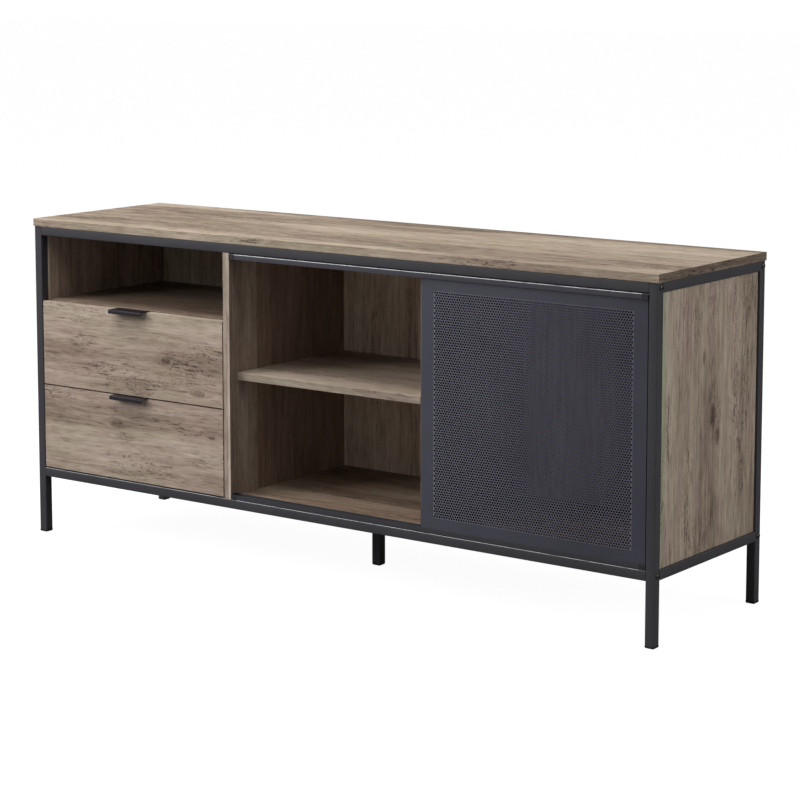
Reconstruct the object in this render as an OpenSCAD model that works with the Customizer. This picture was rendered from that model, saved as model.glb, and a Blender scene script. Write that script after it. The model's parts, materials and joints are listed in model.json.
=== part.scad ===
// TV stand with two drawers, an open cubby, a shelf bay and a sliding perforated door.
// Millimetres, Z up, front faces -Y, origin on the floor under the middle of the frame.

/* [Overall] */
// width of the top panel
top_w = 1524; // [1200:1:1800]
// depth of the top panel
top_d = 400; // [350:1:500]
// thickness of the top panel
top_t = 16; // [12:0.5:25]
// height of the top surface above the floor
stand_h = 676; // [500:1:800]

/* [Frame] */
// outer width of the metal frame
frame_w = 1520; // [1200:1:1796]
// outer depth of the metal frame
frame_d = 397; // [340:1:496]
// side of the square tube
tube = 19; // [15:0.5:30]
// wall of the square tube
tube_wall = 1.2; // [0.8:0.1:2]
// underside of the bottom rails above the floor
rail_z = 122.5; // [80:0.5:200]
// height of the plastic foot under each leg
foot_h = 5; // [3:0.5:12]
// width of the cross bar that carries the floor and the centre leg
bar_w = 30; // [19:1:50]
// height of the cross bar
bar_h = 10; // [8:0.5:15]
// side of the plate that fixes the centre leg
plate_w = 60; // [40:1:90]
// head diameter of the frame bolts
bolt_head_d = 11; // [8:0.5:14]
// thread diameter of the frame bolts
bolt_d = 6; // [4:0.5:8]

/* [Boards] */
// thickness of the side panels
side_t = 18; // [12:0.5:22]
// how far the side panels stand back from the frame's outer face
side_inset = 5; // [0:0.5:10]
// thickness of the dividers
div_t = 16; // [12:0.5:22]
// distance from the middle to the left divider's inner face
bay_half = 223.2; // [180:0.1:300]
// distance from the middle to the right divider's inner face
right_in = 231.5; // [180:0.1:300]
// thickness of the shelves and the floor
shelf_t = 15; // [12:0.5:20]
// top of the floor panel
floor_z = 147.5; // [120:0.5:200]
// top of the cubby shelf
cubby_z = 504; // [400:1:560]
// top of the middle shelf
shelf_z = 397.5; // [250:0.5:560]
// front of the boards that stand behind the door
inner_y = -176; // [-190:0.5:-150]
// thickness of the back panels
back_t = 3; // [2:0.5:6]
// gap between neighbouring back panels
back_gap = 1; // [0:0.5:3]

/* [Drawers] */
// thickness of the drawer fronts
front_t = 16; // [12:0.5:22]
// height of each drawer front
front_h = 177; // [120:1:220]
// underside of the lower drawer front
front_z = 144.5; // [143:0.5:160]
// gap round the drawer fronts
front_gap = 3; // [2:0.5:5]
// thickness of the drawer box boards
box_t = 12; // [9:0.5:16]
// height of the drawer box
box_h = 125; // [80:1:150]
// depth of the drawer box
box_d = 340; // [250:1:350]
// height of the drawer box above the underside of its front
box_up = 13.5; // [8:0.5:30]
// thickness of the drawer bottom
bottom_t = 4; // [3:0.5:6]
// length of the metal runners
runner_l = 340; // [250:1:345]
// height of the cabinet-side runner
runner_h = 35; // [25:1:45]
// space for a runner at each side of the box
runner_w = 13; // [12.5:0.1:14]
// sheet thickness of the runners
runner_t = 1.2; // [1:0.1:1.5]

/* [Pulls] */
// length of the edge pull
pull_l = 90; // [60:1:160]
// how far the pull stands out in front of the drawer
pull_out = 18; // [12:1:30]
// height of the pull's lip
pull_lip = 7; // [5:1:25]
// height of the flange behind the drawer front
pull_back = 26; // [18:1:30]
// sheet thickness of the pull
pull_t = 1.2; // [1:0.1:2]

/* [Door] */
// width of the door
door_w = 491.3; // [400:0.1:600]
// height of the door
door_h = 490; // [400:1:520]
// left edge of the closed door
door_x = 247.5; // [200:0.1:300]
// underside of the door
door_z = 145; // [143.5:0.1:148]
// front face of the door
door_y = -196.4; // [-196.5:0.1:-185]
// thickness of the perforated sheet
sheet_t = 1.2; // [0.8:0.1:2]
// side of the tubes behind the sheet
door_tube = 10; // [8:0.5:12]
// wall of the door tubes
door_wall = 1; // [0.8:0.1:1.5]

/* [Tracks] */
// sheet thickness of the tracks
track_t = 1.5; // [1:0.1:2]
// lower edge of the top track's front lip
top_lip_z = 629; // [620:0.5:635]
// top edge of the bottom track's front lip
low_lip_z = 151.4; // [148:0.1:156]
// length of each track end cap
cap_l = 13.5; // [10:0.5:25]
// length of the stop inside each track end cap
stop_l = 1.2; // [1:0.1:12]

/* [Hidden] */
$fn = 48;
eps = 0.01;
fx = frame_w / 2;
fy = frame_d / 2;
under_top = stand_h - top_t;
rail_top = rail_z + tube;
head_z = under_top - tube;
inner_x = fx - side_inset - side_t;
div_o = bay_half + div_t;
back_y = fy - tube - back_t;
floor_low = floor_z - shelf_t;
bay_mid = -(inner_x + div_o) / 2;
bay_w = inner_x - div_o;
front_w = bay_w - 1.5;
front_x = -inner_x - 1.5;
box_w = bay_w - 2 * runner_w;
box_x = -inner_x + runner_w;
front_back = -fy + front_t;
track_y0 = -198.2;
track_y1 = -179.8;
track_x0 = -bay_half + 0.5;
track_x1 = fx - tube - 0.5;
wood = [0.6, 0.52, 0.46];
black = [0.12, 0.11, 0.13];
steel = [0.72, 0.73, 0.75];
plastic = [0.06, 0.06, 0.06];

// A box from its low corner to its high corner.
module block(lo, hi) { translate(lo) cube(hi - lo); }

// A square tube between two corners, open along the axis (0 = X, 1 = Y, 2 = Z).
module hollow(lo, hi, axis, wall) {
  a = [for (i = [0:2]) i == axis ? lo[i] - 1 : lo[i] + wall];
  b = [for (i = [0:2]) i == axis ? hi[i] + 1 : hi[i] - wall];
  difference() { block(lo, hi); block(a, b); }
}

// ---- frame ----
module top_panel() color(wood) block([-top_w / 2, -top_d / 2, under_top], [top_w / 2, top_d / 2, stand_h]);

// A corner leg. The side faces have two bolt holes into the front or back rail.
module leg(sx, sy) color(black) {
  x0 = sx > 0 ? fx - tube : -fx;
  y0 = sy > 0 ? fy - tube : -fy;
  difference() {
    hollow([x0, y0, foot_h], [x0 + tube, y0 + tube, under_top], 2, tube_wall);
    for (z = [rail_z + tube / 2, under_top - tube / 2])
      translate([x0 - 1, y0 + tube / 2, z]) rotate([0, 90, 0]) cylinder(d = bolt_d + 0.4, h = tube + 2);
  }
}
module leg_front_left() leg(-1, -1);
module leg_front_right() leg(1, -1);
module leg_back_left() leg(-1, 1);
module leg_back_right() leg(1, 1);

module rail_x(sy, z) color(black) {
  y0 = sy > 0 ? fy - tube : -fy;
  hollow([-fx + tube, y0, z], [fx - tube, y0 + tube, z + tube], 0, tube_wall);
}
module rail_y(sx, z) color(black) {
  x0 = sx > 0 ? fx - tube : -fx;
  hollow([x0, -fy + tube, z], [x0 + tube, fy - tube, z + tube], 1, tube_wall);
}
module rail_top_front() rail_x(-1, head_z);
module rail_top_back() rail_x(1, head_z);
module rail_top_left() rail_y(-1, head_z);
module rail_top_right() rail_y(1, head_z);
module rail_bottom_front() rail_x(-1, rail_z);
module rail_bottom_back() rail_x(1, rail_z);
module rail_bottom_left() rail_y(-1, rail_z);
module rail_bottom_right() rail_y(1, rail_z);

// Flat bar between the bottom rails, under the floor panel.
module cross_bar() color(black)
  hollow([-bar_w / 2, -fy + tube, rail_z], [bar_w / 2, fy - tube, rail_z + bar_h], 1, tube_wall);

// Short tube with a plate welded on top, screwed under the cross bar.
module centre_leg() color(black) {
  hollow([-tube / 2, -tube / 2, foot_h], [tube / 2, tube / 2, rail_z - 2], 2, tube_wall);
  block([-bar_w / 2, -plate_w / 2, rail_z - 2], [bar_w / 2, plate_w / 2, rail_z]);
}

// A chamfered foot with a plug that fills the tube's end.
module foot(x, y) translate([x, y, 0]) {
  hull() {
    block([-tube / 2 + 1.5, -tube / 2 + 1.5, 0], [tube / 2 - 1.5, tube / 2 - 1.5, 0.5]);
    block([-tube / 2, -tube / 2, 2], [tube / 2, tube / 2, foot_h]);
  }
  p = tube / 2 - tube_wall - 0.1;
  block([-p, -p, foot_h - eps], [p, p, foot_h + 12]);
}
module feet() color(plastic) {
  for (x = [-1, 1], y = [-1, 1]) foot(x * (fx - tube / 2), y * (fy - tube / 2));
  foot(0, 0);
}

// Button-head bolts through the legs' side faces into the front and back rails.
module frame_bolts() color(black)
  for (sx = [-1, 1], sy = [-1, 1], z = [rail_z + tube / 2, under_top - tube / 2])
    translate([sx * fx, sy * (fy - tube / 2), z]) rotate([0, sx * 90, 0]) difference() {
      union() {
        cylinder(d1 = bolt_head_d, d2 = bolt_head_d - 4, h = 3);
        translate([0, 0, -tube - 12]) cylinder(d = bolt_d, h = tube + 12 + eps);
      }
      translate([0, 0, 1]) cylinder(d = 4.6, h = 3, $fn = 6);
    }

// ---- boards ----
module side_panel(s) color(wood)
  block([s > 0 ? inner_x : -inner_x - side_t, -fy + tube, rail_top], [s > 0 ? inner_x + side_t : -inner_x, fy - tube, head_z]);
module side_panel_left() side_panel(-1);
module side_panel_right() side_panel(1);

// Stands on the floor panel. Its front strip is flush with the frame and stands on the bottom rail.
module divider_left() color(wood) difference() {
  union() {
    block([-div_o, inner_y, floor_z], [-bay_half, back_y, under_top]);
    block([-div_o, -fy, rail_top], [-bay_half, inner_y - 0.2, head_z]);
    block([-div_o, inner_y - 0.2 - eps, floor_z], [-bay_half, inner_y + eps, head_z]);
  }
  pin_holes(-1);
}
module divider_right() color(wood) difference() {
  block([right_in, inner_y, floor_z], [right_in + div_t, back_y, under_top]);
  pin_holes(1);
}
module floor_panel() color(wood)
  block([-inner_x + 0.5, inner_y, floor_low], [inner_x - 0.5, back_y - 0.2, floor_z]);
module cubby_shelf() color(wood)
  block([-inner_x, -fy + 18.5, cubby_z - shelf_t], [-div_o, back_y - 0.2, cubby_z]);
module middle_shelf() color(wood)
  block([-bay_half + 0.7, inner_y, shelf_z - shelf_t], [right_in - 0.7, back_y - 8, shelf_z]);

// Shelf pins and their holes.
pin_y = [-130, 120];
pin_d = 5;
function wall_x(s) = s > 0 ? right_in : bay_half;
module pin_holes(s)
  for (y = pin_y) translate([s * (wall_x(s) + 4), y, shelf_z - shelf_t - pin_d / 2]) rotate([0, 90, 0])
    cylinder(d = pin_d, h = 8 + 2 * eps, center = true);
module shelf_pins() color(steel)
  for (s = [-1, 1], y = pin_y) translate([s * wall_x(s), y, shelf_z - shelf_t - pin_d / 2]) rotate([0, -s * 90, 0])
    translate([0, 0, -7.5]) cylinder(d = pin_d, h = 16);

module back_panel(x0, x1) color(wood)
  block([x0, back_y, rail_z + bar_h + 0.5], [x1, back_y + back_t, under_top - 2]);
back_x = (bay_half + div_o) / 2;
back_r = right_in + div_t / 2;
module back_panel_left() back_panel(-inner_x, -back_x - back_gap / 2);
module back_panel_middle() back_panel(-back_x + back_gap / 2, back_r - back_gap / 2);
module back_panel_right() back_panel(back_r + back_gap / 2, inner_x);

// ---- tracks ----
// Channel under the top rail, open below, with its front lip a little proud of the rail.
module top_track() color(black) {
  lip_y = -fy - 0.8;
  block([track_x0, lip_y, head_z - 3.3], [track_x1, track_y1, head_z - 1.8]);
  block([track_x0, lip_y, top_lip_z], [track_x1, lip_y + track_t, head_z - 3.3 + eps]);
  block([track_x0, track_y1 - track_t, top_lip_z], [track_x1, track_y1, head_z - 3.3 + eps]);
  block([track_x0, -193, head_z - 1.8 - eps], [track_x1, -185, head_z]);
}
// Channel on the bottom rail, open above.
module bottom_track() color(black) {
  block([track_x0, track_y0, rail_top], [track_x1, track_y1, rail_top + track_t]);
  block([track_x0, track_y0, rail_top], [track_x1, track_y0 + track_t, low_lip_z]);
  block([track_x0, track_y1 - track_t, rail_top], [track_x1, track_y1, low_lip_z]);
}
// Caps on the track ends: a thin plate over the front lip and a stop inside the channel.
module cap_top(x0, s) {
  lip_y = -fy - 0.8;
  block([s > 0 ? x0 - cap_l : x0, lip_y - 0.8, top_lip_z - 1], [s > 0 ? x0 : x0 + cap_l, lip_y, head_z - 1.8]);
  block([s > 0 ? x0 - stop_l : x0, lip_y - eps, top_lip_z - 1], [s > 0 ? x0 : x0 + stop_l, track_y1 - track_t - 0.1, top_lip_z]);
  block([s > 0 ? x0 - stop_l : x0, lip_y + track_t + 0.1, top_lip_z - eps], [s > 0 ? x0 : x0 + stop_l, track_y1 - track_t - 0.1, head_z - 3.4]);
}
module cap_low(x0, s) {
  block([s > 0 ? x0 - cap_l : x0, track_y0 - 0.8, rail_top], [s > 0 ? x0 : x0 + cap_l, track_y0, low_lip_z + 1]);
  block([s > 0 ? x0 - stop_l : x0, track_y0 - eps, low_lip_z], [s > 0 ? x0 : x0 + stop_l, track_y1 - track_t - 0.1, low_lip_z + 1]);
  block([s > 0 ? x0 - stop_l : x0, track_y0 + track_t + 0.1, rail_top + track_t + 0.1], [s > 0 ? x0 : x0 + stop_l, track_y1 - track_t - 0.1, low_lip_z + eps]);
}
module track_end_caps() color(plastic) {
  cap_top(track_x1, 1);
  cap_top(track_x0, -1);
  cap_low(track_x1, 1);
  cap_low(track_x0, -1);
}

// ---- drawer runners ----
// Centre height of a runner for a drawer whose front starts at z0.
function runner_z(z0) = z0 + box_up + 60;
// Cabinet-side channel on the wall at x, opening towards s.
module runner(x, s, z0) color(steel) {
  c = runner_z(z0);
  y0 = -fy + 20.5;
  x1 = x + s * runner_t;
  x2 = x + s * 10;
  block([min(x, x1), y0, c - runner_h / 2], [max(x, x1), y0 + runner_l, c + runner_h / 2]);
  for (k = [-1, 1]) block([min(x, x2), y0, k > 0 ? c + runner_h / 2 - runner_t : c - runner_h / 2],
    [max(x, x2), y0 + runner_l, k > 0 ? c + runner_h / 2 : c - runner_h / 2 + runner_t]);
}
// Drawer-side channel on the box side at x, opening towards s.
module slide(x, s, z0) color(steel) {
  c = runner_z(z0);
  h = runner_h - 2 * runner_t - 2.6;
  y0 = -fy + 20.5;
  x1 = x + s * runner_t;
  x2 = x + s * 9;
  block([min(x, x1), y0, c - h / 2], [max(x, x1), y0 + runner_l - 10, c + h / 2]);
  for (k = [-1, 1]) block([min(x, x2), y0, k > 0 ? c + h / 2 - runner_t : c - h / 2],
    [max(x, x2), y0 + runner_l - 10, k > 0 ? c + h / 2 : c - h / 2 + runner_t]);
}
low_z = front_z;
up_z = front_z + front_h + front_gap;
module runner_upper_left() runner(-inner_x, 1, up_z);
module runner_upper_right() runner(-div_o, -1, up_z);
module runner_lower_left() runner(-inner_x, 1, low_z);
module runner_lower_right() runner(-div_o, -1, low_z);

// ---- drawers ----
module d_front(z0) color(wood) block([front_x, -fy, z0], [front_x + front_w, front_back, z0 + front_h]);
module d_side(x0, s, z0) color(wood) difference() {
  block([x0, front_back, z0 + box_up], [x0 + box_t, front_back + box_d, z0 + box_up + box_h]);
  block([s > 0 ? x0 + box_t - 5 : x0 - 1, front_back - 1, z0 + box_up + 10], [s > 0 ? x0 + box_t + 1 : x0 + 5, front_back + box_d + 1, z0 + box_up + 10 + bottom_t + 0.2]);
}
module d_back(z0) color(wood)
  block([box_x + box_t, front_back + box_d - box_t, z0 + box_up + 10 + bottom_t + 0.2], [box_x + box_w - box_t, front_back + box_d, z0 + box_up + box_h]);
module d_bottom(z0) color(wood)
  block([box_x + box_t - 4.5, front_back + 0.2, z0 + box_up + 10.1], [box_x + box_w - box_t + 4.5, front_back + box_d, z0 + box_up + 10.1 + bottom_t]);
// Folded sheet over the top edge of the front: a flange behind, a plate on top and a lip in front.
pull_x = front_x + front_w / 2;
module d_pull(z0) color(black) {
  z1 = z0 + front_h;
  difference() {
    union() {
      block([pull_x - pull_l / 2, -fy - pull_out, z1], [pull_x + pull_l / 2, front_back + pull_t, z1 + pull_t]);
      block([pull_x - pull_l / 2, front_back, z1 - pull_back], [pull_x + pull_l / 2, front_back + pull_t, z1 + eps]);
      block([pull_x - pull_l / 2, -fy - pull_out, z1 - pull_lip], [pull_x + pull_l / 2, -fy - pull_out + pull_t, z1 + eps]);
    }
    for (k = [-1, 1]) translate([pull_x + k * pull_l / 3, front_back - 1, z1 - 19]) rotate([-90, 0, 0])
      cylinder(d = 4, h = pull_t + 2);
  }
}
module d_screws(z0) color(steel)
  for (k = [-1, 1]) translate([pull_x + k * pull_l / 3, front_back + pull_t, z0 + front_h - 19]) rotate([-90, 0, 0]) {
    cylinder(d1 = 7, d2 = 4, h = 2);
    translate([0, 0, -12]) cylinder(d = 3.6, h = 12 + eps);
  }
module upper_front() difference() { d_front(up_z); screw_bores(up_z); }
module lower_front() difference() { d_front(low_z); screw_bores(low_z); }
module screw_bores(z0)
  for (k = [-1, 1]) translate([pull_x + k * pull_l / 3, front_back + 1, z0 + front_h - 19]) rotate([90, 0, 0])
    cylinder(d = 3.6, h = 12.5);
module upper_side_left() d_side(box_x, 1, up_z);
module upper_side_right() d_side(box_x + box_w - box_t, -1, up_z);
module upper_back() d_back(up_z);
module upper_bottom() d_bottom(up_z);
module upper_pull() d_pull(up_z);
module upper_pull_screws() d_screws(up_z);
module upper_slide_left() slide(box_x, -1, up_z);
module upper_slide_right() slide(box_x + box_w, 1, up_z);
module lower_side_left() d_side(box_x, 1, low_z);
module lower_side_right() d_side(box_x + box_w - box_t, -1, low_z);
module lower_back() d_back(low_z);
module lower_bottom() d_bottom(low_z);
module lower_pull() d_pull(low_z);
module lower_pull_screws() d_screws(low_z);
module lower_slide_left() slide(box_x, -1, low_z);
module lower_slide_right() slide(box_x + box_w, 1, low_z);

// ---- door ----
tube_y = door_y + sheet_t;
// The sheet's round holes are left out here.
module door_sheet() color(black) block([door_x, door_y, door_z], [door_x + door_w, tube_y, door_z + door_h]);
module door_stile(x0) color(black)
  hollow([x0, tube_y, door_z + door_tube], [x0 + door_tube, tube_y + door_tube, door_z + door_h - door_tube], 2, door_wall);
module door_stile_left() door_stile(door_x);
module door_stile_right() door_stile(door_x + door_w - door_tube);
module door_rail(z0, s) color(black) difference() {
  hollow([door_x, tube_y, z0], [door_x + door_w, tube_y + door_tube, z0 + door_tube], 0, door_wall);
  for (x = glide_x) block([x - 4.1, tube_y + door_tube / 2 - 3.1, s > 0 ? z0 + door_tube / 2 : z0 - 1],
    [x + 4.1, tube_y + door_tube / 2 + 3.1, s > 0 ? z0 + door_tube + 1 : z0 + door_tube / 2]);
}
module door_rail_top() door_rail(door_z + door_h - door_tube, 1);
module door_rail_bottom() door_rail(door_z, -1);
// Plastic glides in slots of the door's top and bottom tubes.
glide_x = [door_x + 30, door_x + door_w - 30];
module door_glides() color(plastic) for (x = glide_x) {
  block([x - 4, tube_y + door_tube / 2 - 3, rail_top + track_t + 0.3], [x + 4, tube_y + door_tube / 2 + 3, door_z + 7]);
  block([x - 4, tube_y + door_tube / 2 - 3, door_z + door_h - 7], [x + 4, tube_y + door_tube / 2 + 3, head_z - 3.3 - 0.4]);
}

top_panel();
leg_front_left();
leg_front_right();
leg_back_left();
leg_back_right();
rail_top_front();
rail_top_back();
rail_top_left();
rail_top_right();
rail_bottom_front();
rail_bottom_back();
rail_bottom_left();
rail_bottom_right();
cross_bar();
centre_leg();
feet();
side_panel_left();
side_panel_right();
divider_left();
divider_right();
floor_panel();
cubby_shelf();
middle_shelf();
back_panel_left();
back_panel_middle();
back_panel_right();
top_track();
bottom_track();
track_end_caps();
frame_bolts();
shelf_pins();
runner_upper_left();
runner_upper_right();
runner_lower_left();
runner_lower_right();
upper_front();
upper_side_left();
upper_side_right();
upper_back();
upper_bottom();
upper_pull();
upper_pull_screws();
upper_slide_left();
upper_slide_right();
lower_front();
lower_side_left();
lower_side_right();
lower_back();
lower_bottom();
lower_pull();
lower_pull_screws();
lower_slide_left();
lower_slide_right();
door_sheet();
door_stile_left();
door_stile_right();
door_rail_top();
door_rail_bottom();
door_glides();
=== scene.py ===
import json
import math

import bpy
import numpy as np
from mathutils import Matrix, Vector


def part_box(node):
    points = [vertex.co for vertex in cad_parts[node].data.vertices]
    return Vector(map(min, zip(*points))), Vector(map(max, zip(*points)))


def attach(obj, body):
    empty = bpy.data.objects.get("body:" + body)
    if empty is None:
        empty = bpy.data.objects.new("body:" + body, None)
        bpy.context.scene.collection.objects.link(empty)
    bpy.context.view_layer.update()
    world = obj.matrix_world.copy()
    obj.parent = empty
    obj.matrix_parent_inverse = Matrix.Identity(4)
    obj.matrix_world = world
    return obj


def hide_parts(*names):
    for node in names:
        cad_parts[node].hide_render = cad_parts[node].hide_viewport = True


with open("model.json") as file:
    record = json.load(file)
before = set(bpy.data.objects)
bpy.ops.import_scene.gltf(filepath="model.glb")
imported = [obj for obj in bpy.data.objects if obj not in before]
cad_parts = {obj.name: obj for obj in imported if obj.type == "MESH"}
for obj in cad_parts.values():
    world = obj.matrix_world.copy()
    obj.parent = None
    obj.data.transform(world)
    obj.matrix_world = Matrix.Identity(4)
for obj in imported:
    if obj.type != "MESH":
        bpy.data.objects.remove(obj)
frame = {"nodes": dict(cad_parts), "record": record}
nodes = frame["nodes"]
scene = bpy.context.scene
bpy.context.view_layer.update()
mm = 0.001


# the camera, the lights and the floor
cameraSettings = {
    "place": (2.883, -3.855, 1.2343),
    "turn": 36.276,
    "tiltDown": 7.324,
    "lens": 109.2,
    "shiftY": -0.17,
}

lightSettings = {
    "overhead": {"place": (-0.65, -0.8, 3.1), "aim": (-0.25, 0.0, 0.6), "size": (3.2, 2.0), "power": 92},
    "frontLeft": {"place": (-3.2, -3.6, 2.6), "aim": (-0.1, -0.1, 0.4), "size": (2.4, 2.0), "power": 122},
    "rightFill": {"place": (4.0, 0.7, 1.5), "aim": (0.7, 0.0, 0.4), "size": (1.8, 1.8), "power": 50},
}

studioSettings = {"floorSize": 60.0, "worldLight": 0.24, "floorBounce": 0.18, "floorGlow": 0.95}


def makeCamera(s):
    data = bpy.data.cameras.new("camera")
    data.sensor_width = 36
    data.lens = s["lens"]
    data.shift_y = s["shiftY"]
    data.clip_start, data.clip_end = 0.05, 300
    camera = bpy.data.objects.new("camera", data)
    camera.location = s["place"]
    camera.rotation_euler = (math.radians(90 - s["tiltDown"]), 0, math.radians(s["turn"]))
    scene.collection.objects.link(camera)
    scene.camera = camera


def makeLight(name, s):
    data = bpy.data.lights.new(name, "AREA")
    data.shape = "RECTANGLE"
    data.size, data.size_y = s["size"]
    data.energy = s["power"]
    data.color = s.get("colour", (1, 1, 1))
    lamp = bpy.data.objects.new(name, data)
    lamp.location = s["place"]
    away = lamp.location - type(lamp.location)(s["aim"])
    lamp.rotation_euler = away.to_track_quat("Z", "Y").to_euler()
    scene.collection.objects.link(lamp)


def addNode(tree, kind, inputs=None, **settings):
    node = tree.nodes.new(kind)
    for key, value in settings.items():
        setattr(node, key, value)
    for key, value in (inputs or {}).items():
        if isinstance(value, bpy.types.NodeSocket):
            tree.links.new(value, node.inputs[key])
        else:
            node.inputs[key].default_value = value
    return node


def makeStudio(s):
    scene.view_settings.view_transform = "Standard"
    world = bpy.data.worlds.new("studio")
    scene.world = world
    world.use_nodes = True
    tree = world.node_tree
    tree.nodes.clear()
    path = addNode(tree, "ShaderNodeLightPath")
    soft = addNode(tree, "ShaderNodeBackground", {"Color": (1, 1, 1, 1), "Strength": s["worldLight"]})
    plain = addNode(tree, "ShaderNodeBackground", {"Color": (1, 1, 1, 1), "Strength": 1.05})
    mix = addNode(
        tree, "ShaderNodeMixShader", {0: path.outputs["Is Camera Ray"], 1: soft.outputs[0], 2: plain.outputs[0]},
    )
    addNode(tree, "ShaderNodeOutputWorld", {"Surface": mix.outputs[0]})

    half = s["floorSize"] / 2
    mesh = bpy.data.meshes.new("floor")
    mesh.from_pydata([(-half, -half, 0), (half, -half, 0), (half, half, 0), (-half, half, 0)], [], [(0, 1, 2, 3)])
    floor = bpy.data.objects.new("floor", mesh)
    scene.collection.objects.link(floor)
    pale = bpy.data.materials.new("paleFloor")
    pale.use_nodes = True
    tree = pale.node_tree
    tree.nodes.clear()
    path = addNode(tree, "ShaderNodeLightPath")
    bounce = addNode(tree, "ShaderNodeBsdfDiffuse", {"Color": (s["floorBounce"],) * 3 + (1,)})
    glow = addNode(tree, "ShaderNodeEmission", {"Color": (1, 1, 1, 1), "Strength": s["floorGlow"]})
    bright = addNode(tree, "ShaderNodeAddShader", {0: bounce.outputs[0], 1: glow.outputs[0]})
    mix = addNode(
        tree, "ShaderNodeMixShader", {0: path.outputs["Is Camera Ray"], 1: bounce.outputs[0], 2: bright.outputs[0]},
    )
    addNode(tree, "ShaderNodeOutputMaterial", {"Surface": mix.outputs[0]})
    mesh.materials.append(pale)


makeCamera(cameraSettings)
for lightName, lightValues in lightSettings.items():
    makeLight(lightName, lightValues)
makeStudio(studioSettings)
print("studio: camera, %d lights, floor" % len(lightSettings))


# effects shared by several finishes
def newGroup(name, inputs, outputs):
    tree = bpy.data.node_groups.new(name, "ShaderNodeTree")
    kinds = {"value": "NodeSocketFloat", "vector": "NodeSocketVector", "colour": "NodeSocketColor"}
    for label, kind, start in inputs:
        socket = tree.interface.new_socket(name=label, in_out="INPUT", socket_type=kinds[kind])
        if start is not None:
            socket.default_value = start
    for label, kind in outputs:
        tree.interface.new_socket(name=label, in_out="OUTPUT", socket_type=kinds[kind])
    return tree, tree.nodes.new("NodeGroupInput").outputs, tree.nodes.new("NodeGroupOutput")


def calc(tree, operation, a, b=None, c=None, clamp=False):
    inputs = {i: v for i, v in enumerate((a, b, c)) if v is not None}
    return addNode(tree, "ShaderNodeMath", inputs, operation=operation, use_clamp=clamp).outputs[0]


def vectorCalc(tree, operation, a, b=None):
    inputs = {i: v for i, v in enumerate((a, b)) if v is not None}
    node = addNode(tree, "ShaderNodeVectorMath", inputs, operation=operation)
    return node.outputs["Value" if operation in ("LENGTH", "DOT_PRODUCT") else "Vector"]


def stretchedNoise(tree, vector, seed, scale, detail=2.0, roughness=0.5, distortion=0.0):
    spread = vectorCalc(tree, "MULTIPLY", vector, scale)
    inputs = {
        "Vector": spread, "W": seed, "Scale": 1.0, "Detail": detail, "Roughness": roughness, "Distortion": distortion,
    }
    return addNode(tree, "ShaderNodeTexNoise", inputs, noise_dimensions="4D").outputs[0]


def band(tree, value, low, high, smooth=True):
    inputs = {"Value": value, "From Min": low, "From Max": high}
    kind = "SMOOTHSTEP" if smooth else "LINEAR"
    return addNode(tree, "ShaderNodeMapRange", inputs, interpolation_type=kind).outputs[0]


def blendColour(tree, kind, amount, a, b):
    node = addNode(tree, "ShaderNodeMix", {0: amount, 6: a, 7: b}, data_type="RGBA", blend_type=kind)
    return node.outputs[2]


def makeKnotSwirl():
    # the grain coordinate runs round a knot like water round a post: y * (1 - r0^2 / r^2)
    tree, given, out = newGroup(
        "knotSwirl",
        [
            ("Vector", "vector", None), ("Centre", "vector", None), ("Shape", "vector", (0.4, 1, 1)),
            ("Size", "value", 0.01),
        ],
        [("Vector", "vector"), ("Mask", "value")],
    )
    local = vectorCalc(
        tree, "MULTIPLY", vectorCalc(tree, "SUBTRACT", given["Vector"], given["Centre"]), given["Shape"],
    )
    reach = vectorCalc(tree, "LENGTH", local)
    ratio = calc(
        tree, "DIVIDE", given["Size"], calc(tree, "MAXIMUM", reach, calc(tree, "MULTIPLY", given["Size"], 0.45)),
    )
    push = calc(tree, "MULTIPLY", calc(tree, "MULTIPLY", ratio, ratio), -1.0)
    across = vectorCalc(tree, "MULTIPLY", local, (0, 1, 1))
    node = addNode(tree, "ShaderNodeVectorMath", {0: across}, operation="SCALE")
    tree.links.new(push, node.inputs["Scale"])
    moved = vectorCalc(tree, "ADD", given["Vector"], node.outputs["Vector"])
    tree.links.new(moved, out.inputs["Vector"])
    tree.links.new(band(tree, ratio, 0.55, 1.9), out.inputs["Mask"])
    return tree


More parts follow.
